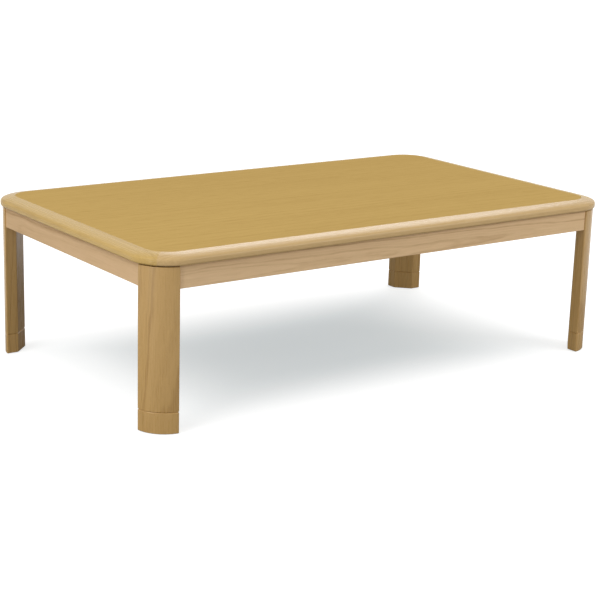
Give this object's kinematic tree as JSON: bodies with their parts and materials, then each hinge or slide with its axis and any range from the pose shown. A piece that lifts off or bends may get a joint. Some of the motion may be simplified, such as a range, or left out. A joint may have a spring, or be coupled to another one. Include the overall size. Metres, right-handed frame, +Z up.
{
  "type": "kotatsu table",
  "caption": "Low rectangular heated table with a lift-off oak top, rounded corners, quarter-round legs, plug-in extension feet and a fan heater under the top.",
  "frame": {"origin": "on the floor under the middle of the tabletop", "axes": "+X along the table's length, +Y across it towards the back, +Z up"},
  "size_m": [1.35, 0.8, 0.4],
  "materials": {
    "oak_veneer": "satin varnished oak veneer",
    "oak_edge": "satin varnished solid oak",
    "oak_rail": "satin varnished oak",
    "oak_leg": "satin varnished oak",
    "lattice_wood": "planed softwood, unvarnished",
    "dowel_beech": "fluted beech, unvarnished",
    "zinc_steel": "zinc plated steel",
    "case_steel": "galvanised sheet steel",
    "bezel_plastic": "heat resistant moulded plastic",
    "reflector_aluminium": "bright aluminium sheet",
    "quartz_glass": "clear quartz tube",
    "coil_wire": "resistance wire",
    "ceramic": "unglazed white ceramic",
    "guard_coating": "dark heat resistant coating",
    "motor_steel": "drawn steel can",
    "fan_aluminium": "pressed aluminium",
    "brass": "nickel brass pins",
    "glide_plastic": "hard plastic glide",
    "lead_silicone": "silicone rubber insulation"
  },
  "bodies": {
    "frame": {"block_screws": "zinc_steel", "corner_block_back_left": "lattice_wood", "corner_block_back_right": "lattice_wood", "corner_block_front_left": "lattice_wood", "corner_block_front_right": "lattice_wood", "crossbar_left": "lattice_wood", "crossbar_right": "lattice_wood", "fan_motor": "motor_steel", "foot_sockets": "zinc_steel", "guard": "guard_coating", "guard_screws": "zinc_steel", "heater_bezel": "bezel_plastic", "heater_case": "case_steel", "heater_leads": "lead_silicone", "heater_screws": "zinc_steel", "heating_coils": "coil_wire", "inlet_pins": "brass", "inlet_socket": "bezel_plastic", "leg_back_left": "oak_leg", "leg_back_right": "oak_leg", "leg_bolts": "zinc_steel", "leg_front_left": "oak_leg", "leg_front_right": "oak_leg", "leg_nuts": "zinc_steel", "leg_washers": "zinc_steel", "motor_bracket": "zinc_steel", "motor_screws": "zinc_steel", "quartz_tubes": "quartz_glass", "rail_back": "oak_rail", "rail_dowels": "dowel_beech", "rail_front": "oak_rail", "rail_left": "oak_rail", "rail_right": "oak_rail", "reflector": "reflector_aluminium", "spacer_back": "lattice_wood", "spacer_front": "lattice_wood", "terminal_block": "ceramic", "thermal_fuse": "ceramic", "thermostat": "bezel_plastic", "tube_holders": "ceramic"},
    "tabletop": {"top_panel": "oak_veneer", "edge_front": "oak_edge", "edge_back": "oak_edge", "edge_left": "oak_edge", "edge_right": "oak_edge"},
    "foot_front_left": {"foot_front_left": "oak_leg", "foot_pin_front_left": "zinc_steel", "glide_front_left": "glide_plastic"},
    "foot_front_right": {"foot_front_right": "oak_leg", "foot_pin_front_right": "zinc_steel", "glide_front_right": "glide_plastic"},
    "foot_back_right": {"foot_back_right": "oak_leg", "foot_pin_back_right": "zinc_steel", "glide_back_right": "glide_plastic"},
    "foot_back_left": {"foot_back_left": "oak_leg", "foot_pin_back_left": "zinc_steel", "glide_back_left": "glide_plastic"},
    "fan": {"fan_shaft": "zinc_steel", "fan_rotor": "fan_aluminium"}
  },
  "joints": [
    {"name": "top_lift", "type": "slide", "parent": "frame", "child": "tabletop", "axis": [0, 0, 1], "range_m": [0, 0.15]},
    {"name": "foot_front_left_pull", "type": "slide", "parent": "frame", "child": "foot_front_left", "axis": [0, 0, -1], "range_m": [0, 0.04]},
    {"name": "foot_front_right_pull", "type": "slide", "parent": "frame", "child": "foot_front_right", "axis": [0, 0, -1], "range_m": [0, 0.04]},
    {"name": "foot_back_right_pull", "type": "slide", "parent": "frame", "child": "foot_back_right", "axis": [0, 0, -1], "range_m": [0, 0.04]},
    {"name": "foot_back_left_pull", "type": "slide", "parent": "frame", "child": "foot_back_left", "axis": [0, 0, -1], "range_m": [0, 0.04]},
    {"name": "fan_spin", "type": "hinge", "parent": "frame", "child": "fan", "pos_m": [0, 0, 0.3475], "axis": [0, 0, 1], "continuous": true}
  ]
}
